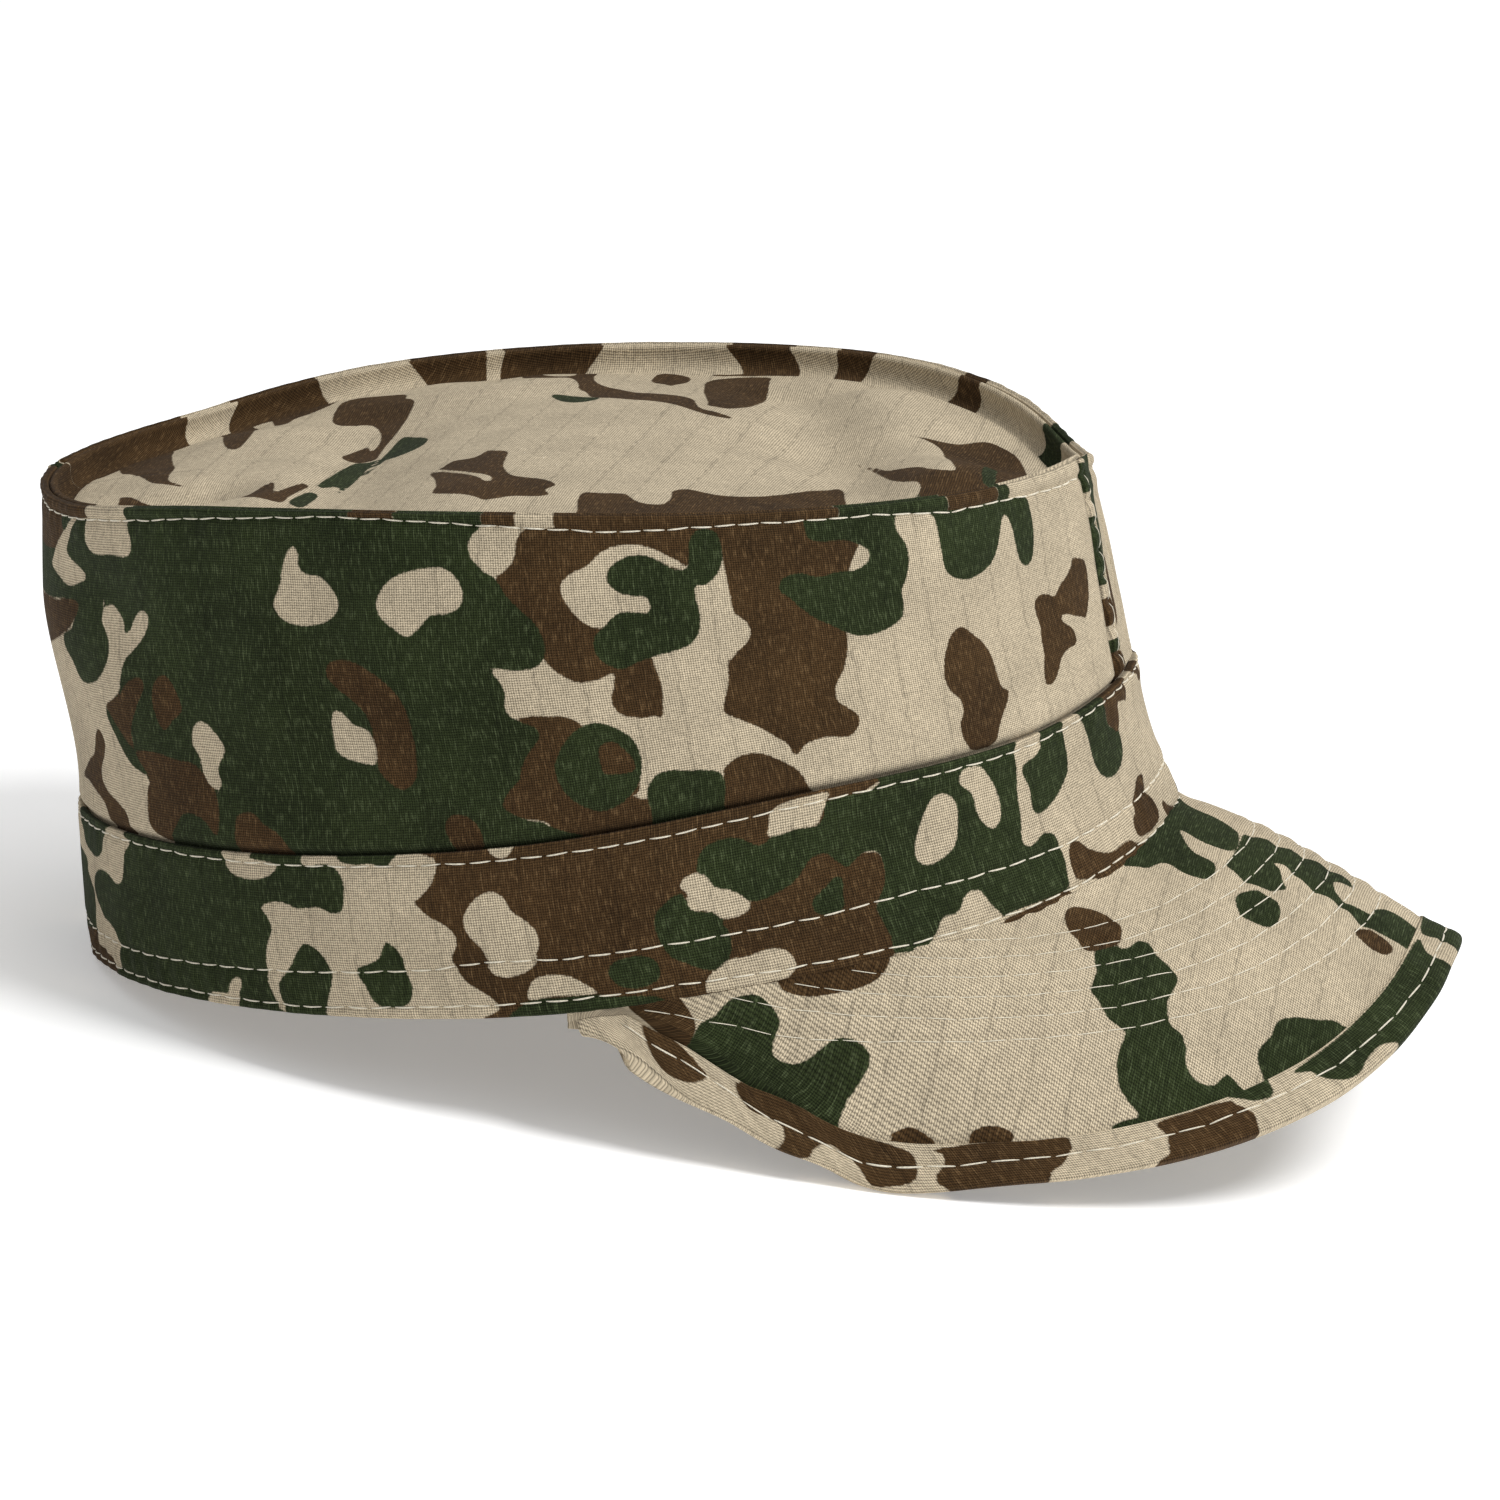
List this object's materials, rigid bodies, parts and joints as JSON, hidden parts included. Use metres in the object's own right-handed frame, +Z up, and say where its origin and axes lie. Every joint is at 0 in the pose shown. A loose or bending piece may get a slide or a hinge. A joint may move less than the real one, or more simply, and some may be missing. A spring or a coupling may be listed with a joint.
{
  "type": "patrol cap",
  "caption": "Patrol cap: a soft flat-topped cloth crown on an upright band with a stiff curved peak in front, in camouflage cloth.",
  "frame": {"origin": "middle of the space that the cap fills as it rests, on the surface under it", "axes": "+X to the front, over the peak; +Y to the wearer's left; +Z up"},
  "size_m": [0.2756, 0.1772, 0.1207],
  "materials": {
    "sand_cloth": "matt woven cotton",
    "green_cloth": "matt woven cotton",
    "brown_cloth": "matt woven cotton"
  },
  "bodies": {
    "root": {"top": "sand_cloth", "side_right": "green_cloth", "side_left": "green_cloth", "front_seam": "sand_cloth", "back_seam": "green_cloth", "band": "brown_cloth", "peak": "sand_cloth", "peak_hem": "brown_cloth"}
  },
  "joints": []
}
